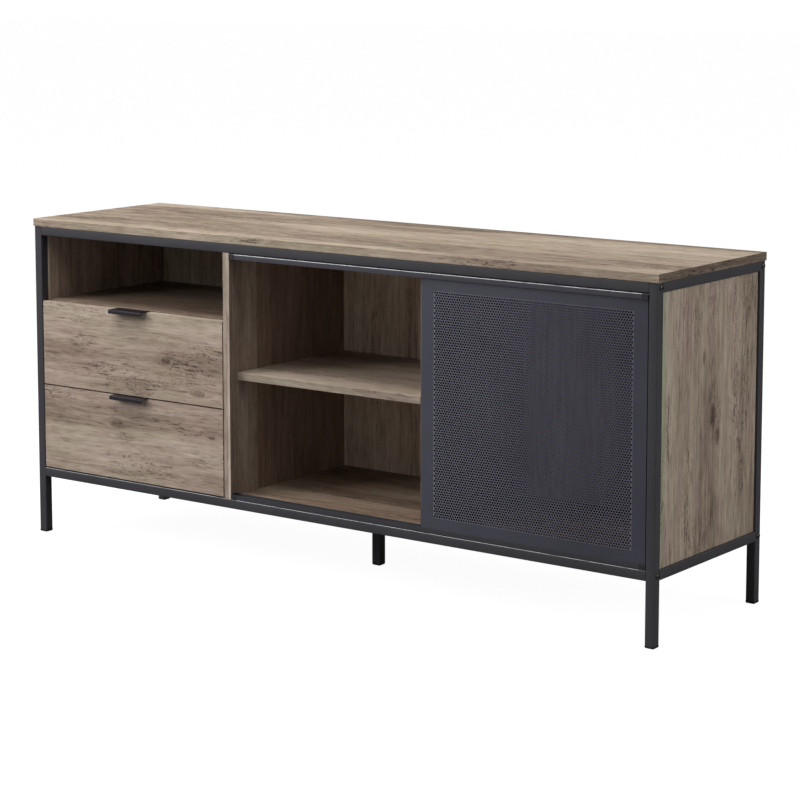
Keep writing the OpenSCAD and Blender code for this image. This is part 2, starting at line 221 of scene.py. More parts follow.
def makeBoardGrain():
    # planks, streaks, fibres and pores, all long in x and narrow in y and z
    tree, given, out = newGroup(
        "boardGrain",
        [
            ("Vector", "vector", None), ("Seed", "value", 0.0), ("Knot", "value", 0.0), ("Lift", "value", 0.0),
            ("Plank", "value", 1.0), ("Dark", "value", 1.0), ("Stain", "value", 0.0),
            ("Tint", "colour", (1, 1, 1, 1)),
        ],
        [("Color", "colour"), ("Height", "value"), ("Roughness", "value")],
    )
    seed = given["Seed"]
    waver = stretchedNoise(tree, given["Vector"], seed, (1.6, 7.0, 7.0), 2.0)
    shift = calc(tree, "MULTIPLY", calc(tree, "SUBTRACT", waver, 0.5), 0.045)
    offset = addNode(tree, "ShaderNodeCombineXYZ", {"Y": shift, "Z": shift}).outputs[0]
    vector = vectorCalc(tree, "ADD", given["Vector"], offset)

    cells = addNode(
        tree,
        "ShaderNodeTexVoronoi",
        {
            "Vector": vectorCalc(tree, "MULTIPLY", vector, (0.75, 13.0, 13.0)), "W": seed, "Scale": 1.0,
            "Smoothness": 0.35,
        },
        voronoi_dimensions="4D",
        feature="SMOOTH_F1",
    )
    tones = addNode(tree, "ShaderNodeSeparateColor", {0: cells.outputs["Color"]})
    plank = calc(tree, "MULTIPLY", calc(tree, "SUBTRACT", tones.outputs[0], 0.5), given["Plank"])
    streak = stretchedNoise(tree, vector, seed, (5.0, 110.0, 110.0), 5.0, 0.68)
    smoke = stretchedNoise(tree, vector, seed, (8.0, 36.0, 36.0), 6.0, 0.72, 0.9)
    fibre = stretchedNoise(tree, vector, seed, (24.0, 290.0, 290.0), 3.0, 0.65)
    dashes = band(tree, stretchedNoise(tree, vector, seed, (30.0, 300.0, 300.0), 2.0, 0.5), 0.55, 0.68)
    patches = band(tree, stretchedNoise(tree, vector, seed, (3.6, 15.0, 15.0), 3.0, 0.5), 0.50, 0.64)
    patches = calc(tree, "MAXIMUM", patches, given["Stain"])
    cracks = band(tree, stretchedNoise(tree, vector, seed, (85.0, 230.0, 230.0), 4.0, 0.7, 1.4), 0.53, 0.62)
    marks = calc(
        tree, "ADD", calc(tree, "MULTIPLY", dashes, calc(tree, "MULTIPLY_ADD", patches, 0.6, 0.4)),
        calc(tree, "MULTIPLY", cracks, patches), clamp=True,
    )
    marks = calc(tree, "MULTIPLY", marks, given["Dark"])

    tone = calc(tree, "MULTIPLY_ADD", plank, 0.30, calc(tree, "ADD", given["Lift"], 0.545))
    for part, weight in ((streak, 0.84), (smoke, 0.52), (fibre, 0.50)):
        tone = calc(tree, "MULTIPLY_ADD", calc(tree, "SUBTRACT", part, 0.5), weight, tone)
    tone = calc(tree, "SUBTRACT", tone, calc(tree, "MULTIPLY", marks, 0.36))
    tone = calc(tree, "SUBTRACT", tone, calc(tree, "MULTIPLY", given["Stain"], 0.05))
    tone = calc(tree, "SUBTRACT", tone, calc(tree, "MULTIPLY", given["Knot"], 0.24), clamp=True)
    ramp = addNode(tree, "ShaderNodeValToRGB", {0: tone})
    stops = (
        (0.0, (0.045, 0.030, 0.023)), (0.26, (0.160, 0.115, 0.088)), (0.50, (0.335, 0.258, 0.204)),
        (0.72, (0.480, 0.395, 0.325)), (1.0, (0.66, 0.58, 0.50)),
    )
    while len(ramp.color_ramp.elements) < len(stops):
        ramp.color_ramp.elements.new(0.5)
    for element, (place, colour) in zip(ramp.color_ramp.elements, stops):
        element.position, element.color = place, colour + (1,)
    hue = band(tree, stretchedNoise(tree, vector, seed, (4.0, 22.0, 22.0), 3.0, 0.5, 0.6), 0.35, 0.68)
    mossy = blendColour(tree, "MULTIPLY", hue, ramp.outputs[0], (0.965, 1.0, 0.93, 1))
    rosy = blendColour(tree, "MULTIPLY", calc(tree, "SUBTRACT", 1.0, hue), mossy, (1.02, 0.985, 0.99, 1))
    tree.links.new(blendColour(tree, "MULTIPLY", 1.0, rosy, given["Tint"]), out.inputs["Color"])
    height = calc(tree, "MULTIPLY_ADD", fibre, 0.5, calc(tree, "MULTIPLY", streak, 0.3))
    tree.links.new(calc(tree, "SUBTRACT", height, calc(tree, "MULTIPLY", marks, 0.6)), out.inputs["Height"])
    tree.links.new(
        calc(tree, "MULTIPLY_ADD", streak, -0.16, calc(tree, "MULTIPLY_ADD", marks, 0.12, 0.66)),
        out.inputs["Roughness"],
    )
    return tree


def makeSpeckle():
    # fine grit for coated, plated and moulded skins
    tree, given, out = newGroup(
        "speckle",
        [
            ("Vector", "vector", None), ("Grit", "value", 1500.0), ("Colour", "colour", (0.05, 0.05, 0.05, 1)),
            ("Variation", "value", 0.15), ("Base Roughness", "value", 0.5),
        ],
        [("Color", "colour"), ("Height", "value"), ("Roughness", "value")],
    )
    grit = addNode(
        tree, "ShaderNodeTexNoise", {"Vector": given["Vector"], "Scale": given["Grit"], "Detail": 2.0},
    ).outputs[0]
    cloud = addNode(
        tree, "ShaderNodeTexNoise", {"Vector": given["Vector"], "Scale": 9.0, "Detail": 4.0, "Roughness": 0.6},
    ).outputs[0]
    change = calc(tree, "ADD", calc(tree, "SUBTRACT", grit, 0.5), calc(tree, "SUBTRACT", cloud, 0.5))
    gain = calc(tree, "MULTIPLY_ADD", change, given["Variation"], 1.0)
    node = addNode(tree, "ShaderNodeVectorMath", {0: given["Colour"]}, operation="SCALE")
    tree.links.new(gain, node.inputs["Scale"])
    tree.links.new(node.outputs["Vector"], out.inputs["Color"])
    tree.links.new(grit, out.inputs["Height"])
    rough = calc(tree, "MULTIPLY_ADD", calc(tree, "SUBTRACT", cloud, 0.5), 0.22, given["Base Roughness"])
    tree.links.new(
        calc(tree, "MULTIPLY_ADD", calc(tree, "SUBTRACT", grit, 0.5), 0.10, rough),
        out.inputs["Roughness"],
    )
    return tree


knotSwirl = makeKnotSwirl()
boardGrain = makeBoardGrain()
speckle = makeSpeckle()


# the finishes
def startMaterial(name):
    material = bpy.data.materials.new(name)
    material.use_nodes = True
    tree = material.node_tree
    tree.nodes.clear()
    shader = addNode(tree, "ShaderNodeBsdfPrincipled")
    addNode(tree, "ShaderNodeOutputMaterial", {"Surface": shader.outputs[0]})
    coordinates = addNode(tree, "ShaderNodeTexCoord")
    return material, tree, shader, coordinates


grainTurns = {  # turns that bring the grain's direction to x, and the same turn for a point
    "x": ((0, 0, 0), lambda p: p),
    "y": ((0, 0, math.radians(-90)), lambda p: (p[1], -p[0], p[2])),
    "z": ((0, math.radians(90), 0), lambda p: (p[2], p[1], -p[0])),
}


def woodFinish(name, s):
    material, tree, shader, coordinates = startMaterial(name)
    turn, turnPoint = grainTurns[s["grain"]]
    vector = addNode(
        tree, "ShaderNodeMapping", {"Vector": coordinates.outputs["Object"], "Rotation": turn},
    ).outputs[0]
    if "endGrain" in s:  # edge bands run along their own edge
        other = addNode(
            tree, "ShaderNodeMapping",
            {"Vector": coordinates.outputs["Object"], "Rotation": grainTurns[s["endGrain"]][0]},
        ).outputs[0]
        axes = addNode(tree, "ShaderNodeSeparateXYZ", {0: coordinates.outputs["Normal"]})
        facing = calc(tree, "GREATER_THAN", calc(tree, "ABSOLUTE", axes.outputs["xyz".index(s["grain"])]), 0.7)
        vector = addNode(tree, "ShaderNodeMix", {0: facing, 4: vector, 5: other}, data_type="VECTOR").outputs[1]
    knot = 0.0
    for at, size in s.get("knots", ()):
        place = turnPoint([v * mm for v in at])
        shape = tuple(abs(v) for v in turnPoint(s["face"]))
        shape = (shape[0] * 0.42, shape[1], shape[2])
        swirl = addNode(tree, "ShaderNodeGroup", node_tree=knotSwirl)
        tree.links.new(vector, swirl.inputs["Vector"])
        swirl.inputs["Centre"].default_value = place
        swirl.inputs["Shape"].default_value = shape
        swirl.inputs["Size"].default_value = size * mm
        vector = swirl.outputs["Vector"]
        knot = calc(tree, "MAXIMUM", knot, swirl.outputs["Mask"])
    grain = addNode(tree, "ShaderNodeGroup", node_tree=boardGrain)
    tree.links.new(vector, grain.inputs["Vector"])
    grain.inputs["Seed"].default_value = s["seed"]
    grain.inputs["Lift"].default_value = s.get("lift", 0.0)
    grain.inputs["Plank"].default_value = s.get("plank", 1.0)
    grain.inputs["Dark"].default_value = s.get("dark", 1.0)
    grain.inputs["Tint"].default_value = s.get("tint", (1, 1, 1)) + (1,)
    if knot:
        tree.links.new(knot, grain.inputs["Knot"])
    stain = 0.0
    for at, size in s.get("stains", ()):
        apart = vectorCalc(tree, "SUBTRACT", coordinates.outputs["Object"], [v * mm for v in at])
        near = vectorCalc(tree, "LENGTH", vectorCalc(tree, "DIVIDE", apart, [v * mm for v in size]))
        ragged = addNode(
            tree, "ShaderNodeTexNoise", {"Vector": coordinates.outputs["Object"], "Scale": 22.0, "Detail": 3.0},
        ).outputs[0]
        stain = calc(tree, "MAXIMUM", stain, band(tree, calc(tree, "MULTIPLY_ADD", ragged, 1.4, near), 1.75, 1.15))
    if stain:
        tree.links.new(stain, grain.inputs["Stain"])
    colour = grain.outputs["Color"]
    # each strip multiplies the colour in a band on faces looking along one axis; most strips are painted light or
    # shade
    for axis, low, high, facing, gain in s.get("strips", ()):
        place = addNode(tree, "ShaderNodeSeparateXYZ", {0: coordinates.outputs["Object"]}).outputs[axis]
        turned = addNode(tree, "ShaderNodeSeparateXYZ", {0: coordinates.outputs["Normal"]}).outputs[abs(facing)]
        inside = calc(
            tree, "MULTIPLY", band(tree, place, (low - 0.4) * mm, (low + 0.4) * mm),
            band(tree, place, (high + 0.4) * mm, (high - 0.4) * mm),
        )
        seen = calc(tree, "GREATER_THAN", calc(tree, "ABSOLUTE", turned), 0.6)
        colour = blendColour(tree, "MULTIPLY", calc(tree, "MULTIPLY", inside, seen), colour, gain + (1,))
    tree.links.new(colour, shader.inputs["Base Color"])
    tree.links.new(grain.outputs["Roughness"], shader.inputs["Roughness"])
    bump = addNode(tree, "ShaderNodeBump", {"Strength": 0.35, "Distance": 0.0005, "Height": grain.outputs["Height"]})
    tree.links.new(bump.outputs[0], shader.inputs["Normal"])
    shader.inputs["Specular IOR Level"].default_value = 0.35
    return material


def skinFinish(name, s):
    material, tree, shader, coordinates = startMaterial(name)
    grit = addNode(tree, "ShaderNodeGroup", node_tree=speckle)
    tree.links.new(coordinates.outputs["Object"], grit.inputs["Vector"])
    for label in ("Grit", "Variation", "Base Roughness"):
        grit.inputs[label].default_value = s[label]
    grit.inputs["Colour"].default_value = s["colour"] + (1,)
    colour = grit.outputs["Color"]
    if "paintedHighlight" in s:  # painted highlight: a pale line where a bend faces forward and up
        axes = addNode(tree, "ShaderNodeSeparateXYZ", {0: coordinates.outputs["Normal"]}).outputs
        upward = calc(tree, "MULTIPLY", band(tree, axes[2], 0.42, 0.66), band(tree, axes[2], 0.97, 0.86))
        patchy = band(tree, stretchedNoise(tree, coordinates.outputs["Object"], 3.0, (26.0, 1.0, 1.0), 2.0), 0.2, 0.5)
        highlightMask = calc(tree, "MULTIPLY", calc(tree, "MULTIPLY", upward, calc(tree, "LESS_THAN", axes[1], -0.1)), patchy)
        colour = blendColour(tree, "MIX", highlightMask, colour, s["paintedHighlight"] + (1,))
    # painted highlight: one paint covers the whole sheet, but between the holes it is painted several times paler
    # than on the plain margin, and painted shade makes it darker on the holes' walls
    if "web" in s:
        low, high = s["web"]
        place = addNode(tree, "ShaderNodeSeparateXYZ", {0: coordinates.outputs["Object"]}).outputs
        inside = 1.0
        for along, lowEnd, highEnd in ((place[0], low[0], high[0]), (place[2], low[1], high[1])):
            inside = calc(tree, "MULTIPLY", inside, calc(tree, "GREATER_THAN", along, lowEnd))
            inside = calc(tree, "MULTIPLY", inside, calc(tree, "LESS_THAN", along, highEnd))
        across = addNode(tree, "ShaderNodeSeparateXYZ", {0: coordinates.outputs["Normal"]}).outputs[1]
        face = calc(tree, "GREATER_THAN", calc(tree, "ABSOLUTE", across), 0.7)
        # painted light: the sheet made paler and greener towards its left edge
        colour = blendColour(tree, "MULTIPLY", band(tree, place[0], high[0], low[0]), colour, (1.25, 1.30, 1.22, 1))
        web = calc(tree, "MULTIPLY", inside, face)
        colour = blendColour(tree, "MULTIPLY", web, colour, s["webHighlightGain"] + (1,))
        # painted shade: the holes' walls darkened
        colour = blendColour(tree, "MULTIPLY", calc(tree, "SUBTRACT", inside, web), colour, (0.3, 0.3, 0.3, 1))
    tree.links.new(colour, shader.inputs["Base Color"])
    tree.links.new(grit.outputs["Roughness"], shader.inputs["Roughness"])
    bump = addNode(
        tree, "ShaderNodeBump", {"Strength": s["bump"], "Distance": 0.0002, "Height": grit.outputs["Height"]},
    )
    tree.links.new(bump.outputs[0], shader.inputs["Normal"])
    shader.inputs["Metallic"].default_value = s["metal"]
    shader.inputs["Specular IOR Level"].default_value = s["specular"]
    return material


doorMeshSettings = {"pitch": 5.6, "hole": 4.45, "columns": 77, "rows": 89, "bands": 3, "sides": 8}


def webBox(s):
    # the punched area, centred on the door's sheet, in metres
    lo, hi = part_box("door_sheet")
    halfX, halfZ = (s["columns"] + 0.5) * s["pitch"] * mm / 2, (s["rows"] + 0.2) * s["pitch"] * mm * math.sqrt(3) / 4
    x, z = (lo[0] + hi[0]) / 2, (lo[2] + hi[2]) / 2
    return (x - halfX, z - halfZ), (x + halfX, z + halfZ)


skinSettings = {
    "blackMetal": {
        "colour": (0.042, 0.040, 0.048), "Grit": 1300.0, "Variation": 0.35, "Base Roughness": 0.46, "bump": 0.22,
        "metal": 0.0, "specular": 0.5,
    },
    # painted highlight: a pale line along the upper front bend of the bottom front rail
    "paintedHighlightMetal": {
        "colour": (0.042, 0.040, 0.048), "Grit": 1300.0, "Variation": 0.35, "Base Roughness": 0.46, "bump": 0.22,
        "metal": 0.0, "specular": 0.5, "paintedHighlight": (0.46, 0.46, 0.48),
    },
    # painted highlight: a pale line along the top track's upper front bend
    "trackMetal": {
        "colour": (0.040, 0.039, 0.052), "Grit": 1300.0, "Variation": 0.35, "Base Roughness": 0.46, "bump": 0.22,
        "metal": 0.0, "specular": 0.45, "paintedHighlight": (0.80, 0.80, 0.82),
    },
    # painted highlight between the door's holes, painted shade on their walls, painted light towards its left edge
    "doorMetal": {
        "colour": (0.047, 0.046, 0.066), "Grit": 1300.0, "Variation": 0.35, "Base Roughness": 0.46, "bump": 0.22,
        "metal": 0.0, "specular": 0.5, "web": webBox(doorMeshSettings), "webHighlightGain": (2.7, 2.65, 2.5),
    },
    "pullMetal": {
        "colour": (0.014, 0.010, 0.014), "Grit": 1300.0, "Variation": 0.30, "Base Roughness": 0.50, "bump": 0.15,
        "metal": 0.0, "specular": 0.32,
    },
    "boltMetal": {
        "colour": (0.020, 0.020, 0.022), "Grit": 1300.0, "Variation": 0.20, "Base Roughness": 0.24, "bump": 0.05,
        "metal": 0.0, "specular": 0.9,
    },
    "blackPlastic": {
        "colour": (0.020, 0.020, 0.022), "Grit": 2600.0, "Variation": 0.25, "Base Roughness": 0.60, "bump": 0.15,
        "metal": 0.0, "specular": 0.4,
    },
    "zincSteel": {
        "colour": (0.62, 0.63, 0.65), "Grit": 700.0, "Variation": 0.18, "Base Roughness": 0.36, "bump": 0.08,
        "metal": 1.0, "specular": 0.5,
    },
}
skins = {name: skinFinish(name, s) for name, s in skinSettings.items()}
skinOfSlot = {"black_metal": "blackMetal", "black_plastic": "blackPlastic", "zinc_steel": "zincSteel"}

# Lifts, tints and strips also paint light and shade into the boards, so they aren't all the boards' own colour.
# Painted shade: the right bay kept dark behind the holes, the cubby shelf, floor and top panel darker. Painted light:
# the cubby and middle back panels, drawer fronts and right side panel paler. A back panel's tint shows on its rear
# face too.
# lift and tint set a board's tone and this painted light and shade, plank and dark its contrast. knots: (place,
# size). stains: (place, reach).
# strips: (axis, from, to, axis the face looks along, gain). Places and sizes in mm
boardSettings = {
    # painted shade: a lower lift makes the top panel darker
    "top_panel": {
        "grain": "x", "endGrain": "y", "seed": 3.0, "lift": -0.06, "plank": 1.4, "tint": (0.98, 0.99, 0.95),
    },
    # painted shade: tinted darker, and darker again on its faces inside the right bay behind the holes
    "floor_panel": {
        "grain": "x", "seed": 8.0, "tint": (0.78, 0.73, 0.68), "strips": ((0, 248.0, 740.0, 2, (0.7, 0.7, 0.7)),),
    },
    # painted shade: the cubby shelf tinted much darker
    "cubby_shelf": {"grain": "x", "seed": 12.0, "dark": 0.6, "tint": (0.58, 0.53, 0.50)},
    "middle_shelf": {"grain": "x", "seed": 17.0, "strips": ((1, -200.0, -100.0, 1, (0.84, 0.84, 0.84)),)},
    "side_panel_left": {"grain": "z", "seed": 21.0, "plank": 0.6, "dark": 0.3, "tint": (1.02, 0.98, 1.0)},
    # painted light: a small lift makes this panel paler and a strip paints a greener band near its front; painted
    # shade: a strip darkens the inner face inside the right bay
    "side_panel_right": {
        "grain": "z", "seed": 24.0, "face": (0, 1, 1),
        "knots": (((755, -20, 505), 7), ((755, 12, 395), 9), ((755, 30, 350), 7)), "lift": 0.02,
        "stains": (((755, 20, 400), (30, 26, 80)), ((755, -50, 560), (30, 16, 60)), ((755, 120, 250), (30, 22, 70))),
        "strips": ((1, -186.0, -160.0, 0, (0.84, 1.04, 0.90)), (0, 730.0, 742.0, 0, (0.5, 0.5, 0.5))),
    },
    "divider_left": {
        "grain": "z",
        "seed": 28.0,
        "dark": 0.35,
        # painted shade: the side faces darkened behind y = -113. The front edge is made paler and greyer in two bands
        # with a darker line between
        "strips": (
            (0, -240.0, -230.2, 1, (1.22, 1.26, 1.30)), (0, -230.2, -229.4, 1, (0.80, 0.80, 0.80)),
            (0, -229.4, -220.0, 1, (1.60, 1.72, 1.82)), (1, -113.0, 180.0, 0, (0.74, 0.66, 0.64)),
        ),
    },
    # painted shade: tinted darker inside the right bay behind the holes
    "divider_right": {"grain": "z", "seed": 31.0, "dark": 0.5, "tint": (0.70, 0.66, 0.66)},
    # painted light: tinted paler; painted shadow: a dark band beside the left wall
    "back_panel_left": {
        "grain": "z", "seed": 35.0, "dark": 0.4, "tint": (1.35, 1.38, 1.34),
        "strips": ((0, -740.0, -731.5, 1, (0.40, 0.36, 0.36)),),
    },
    # painted light: tinted much paler
    "back_panel_middle": {"grain": "z", "seed": 38.0, "dark": 0.5, "tint": (1.65, 1.66, 1.66)},
    # painted shade: tinted darker behind the holes
    "back_panel_right": {"grain": "z", "seed": 41.0, "dark": 0.5, "tint": (0.52, 0.50, 0.50)},
    "upper_front": {
        "grain": "x",
        "endGrain": "z",
        "seed": 45.0,
        # painted light: a raised lift makes this drawer front paler
        "lift": 0.045,
        "plank": 1.3,
        "tint": (1.02, 0.99, 1.0),
        "face": (1, 0, 1),
        "knots": (((-306, -198, 348), 9), ((-395, -198, 405), 6)),
        "stains": (
            ((-350, -198, 395), (95, 30, 42)), ((-470, -198, 352), (110, 30, 26)), ((-620, -198, 430), (70, 30, 18)),
        ),
    },
    "lower_front": {
        "grain": "x",
        "endGrain": "z",
        "seed": 50.0,
        # painted light: a raised lift makes this drawer front paler
        "lift": 0.045,
        "plank": 1.3,
        "tint": (1.02, 0.99, 1.0),
        "face": (1, 0, 1),
        "knots": (((-533, -198, 261), 8), ((-272, -198, 262), 5)),
        "stains": (
            ((-420, -198, 190), (70, 30, 12)), ((-300, -198, 205), (60, 30, 14)), ((-500, -198, 236), (50, 30, 12)),
        ),
    },
    "drawer_box": {"grain": "y", "seed": 55.0, "plank": 0.5},
}
boards = {name: woodFinish("wood_" + name, s) for name, s in boardSettings.items()}
print("finishes: %d boards, %d skins" % (len(boards), len(skins)))


def finishOf(node):
    slotName = next(p["material_slot"] for p in frame["record"]["subparts"] if p["node"] == node)
    if slotName in skinOfSlot:
        return skins[skinOfSlot[slotName]]
    return boards.get(node, boards["drawer_box"])


edgeSettings = {"board": 0.7, "thinBoard": 0.3, "metal": 0.35, "plastic": 0.5}  # bevel widths in mm


def softenEdges(node, width):
    piece = nodes[node]
    weld = piece.modifiers.new("weld", "WELD")
    weld.merge_threshold = 0.00001
    flat = piece.modifiers.new("flat", "DECIMATE")
    flat.decimate_type = "DISSOLVE"
    flat.angle_limit = math.radians(1)
    soft = piece.modifiers.new("soft", "BEVEL")
    soft.width = width * mm
    soft.segments = 2
    soft.limit_method = "ANGLE"
    soft.angle_limit = math.radians(40)
    soft.harden_normals = False


for name, piece in nodes.items():
    piece.data.materials.clear()
    piece.data.materials.append(finishOf(name))
    slotName = next(p["material_slot"] for p in frame["record"]["subparts"] if p["node"] == name)
    thin = name.startswith("back_panel") or name.endswith("_bottom")
    if slotName == "wood_board":
        softenEdges(name, edgeSettings["thinBoard" if thin else "board"])
    elif slotName == "black_plastic":
        softenEdges(name, edgeSettings["plastic"])
    else:
        softenEdges(name, edgeSettings["metal"])
print("boards and small parts finished")


# pieces made here in place of their plain solids
def addPiece(name, points, faces, body, material, replaced, smooth=False):
    mesh = bpy.data.meshes.new(name)
    mesh.from_pydata(points.tolist() if hasattr(points, "tolist") else points, [], [tuple(f) for f in faces])
    mesh.materials.append(material)
    if smooth:
        mesh.shade_smooth()
        mesh.set_sharp_from_angle(angle=math.radians(35))
    mesh.validate()
    piece = bpy.data.objects.new(name, mesh)
    scene.collection.objects.link(piece)
    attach(piece, body)
    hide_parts(*replaced)
    return piece


def gridFaces(rows, columns, closeRows=False, closeColumns=False):
    r = np.arange(rows if closeRows else rows - 1)
    c = np.arange(columns if closeColumns else columns - 1)
    i, j = (a.ravel() for a in np.meshgrid(r, c, indexing="ij"))
    i2, j2 = (i + 1) % rows, (j + 1) % columns
    return np.stack([i * columns + j, i * columns + j2, i2 * columns + j2, i2 * columns + j], 1)


def roundedSquare(half, radius, steps):
    # four quarter arcs joined in order, as an array of (a, b) points
    turn = np.linspace(0, math.pi / 2, steps + 1)
    arcs = []
    for k in range(4):
        angle = turn + k * math.pi / 2
        corner = np.sign(
            np.array([math.cos(math.pi / 4 + k * math.pi / 2), math.sin(math.pi / 4 + k * math.pi / 2)])
        ) * (np.array(half) - radius)
        arcs.append(corner + radius * np.stack([np.cos(angle), np.sin(angle)], 1))
    return np.concatenate(arcs)


tubeSettings = {"radius": 1.8, "wall": 1.2, "steps": 5, "endRound": 0.15}


def squareTube(name, s, body="cabinet", radius=None, wall=None, skin="blackMetal"):
    # the outer and inner rounded squares carried from end to end: outside, end ring, inside, end ring
    lo, hi = (np.array(v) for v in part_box(name))
    axis = int(np.argmax(hi - lo))
    a, b = [(1, 2), (2, 0), (0, 1)][axis]
    middle = (lo + hi) / 2
    half = np.array([hi[a] - lo[a], hi[b] - lo[b]]) / 2
    radius = (radius or s["radius"]) * mm
    wall = (wall or s["wall"]) * mm
    ease = s["endRound"] * mm
    outer = roundedSquare(half, radius, s["steps"])
    eased = roundedSquare(half - ease, radius - ease, s["steps"])
    inner = roundedSquare(half - wall, max(radius - wall, 0.2 * mm), s["steps"])
    rings = [
        (eased, lo[axis]), (outer, lo[axis] + ease), (outer, hi[axis] - ease), (eased, hi[axis]), (inner, hi[axis]),
        (inner, lo[axis]),
    ]
    points = np.zeros((len(rings), len(outer), 3))
    for k, (ring, level) in enumerate(rings):
        points[k, :, a] = ring[:, 0] + middle[a]
        points[k, :, b] = ring[:, 1] + middle[b]
        points[k, :, axis] = level
    faces = gridFaces(len(rings), len(outer), closeRows=True, closeColumns=True)
    return addPiece(
        name + "_tube", points.reshape(-1, 3), faces, body, skins[skin], [name], smooth=True,
    )


for name in list(nodes):
    if name.startswith(("leg_", "rail_")):
        # the bottom front rail carries a painted highlight along its upper front bend
        squareTube(name, tubeSettings, skin="paintedHighlightMetal" if name == "rail_bottom_front" else "blackMetal")
    elif name.startswith("door_stile"):
        squareTube(name, tubeSettings, "door", radius=1.2, wall=1.0, skin="doorMetal")
print("frame tubes made")


def zipTriangles(outerAngles, innerAngles):
    # triangles of the ring between two polygons, walking both by angle
    outerCount, innerCount = len(outerAngles), len(innerAngles)
    triangles, i, j = [], 0, 0
    while i < outerCount or j < innerCount:
        nextOuter = outerAngles[i % outerCount] + 360 * (i // outerCount) + 30
        nextInner = innerAngles[j % innerCount] + 360 * (j // innerCount) + 180 / innerCount
        if j >= innerCount or (i < outerCount and nextOuter <= nextInner):
            triangles.append((i % outerCount, (i + 1) % outerCount, outerCount + j % innerCount))
            i += 1
        else:
            triangles.append((outerCount + j % innerCount, i % outerCount, outerCount + (j + 1) % innerCount))
            j += 1
    return np.array(triangles)


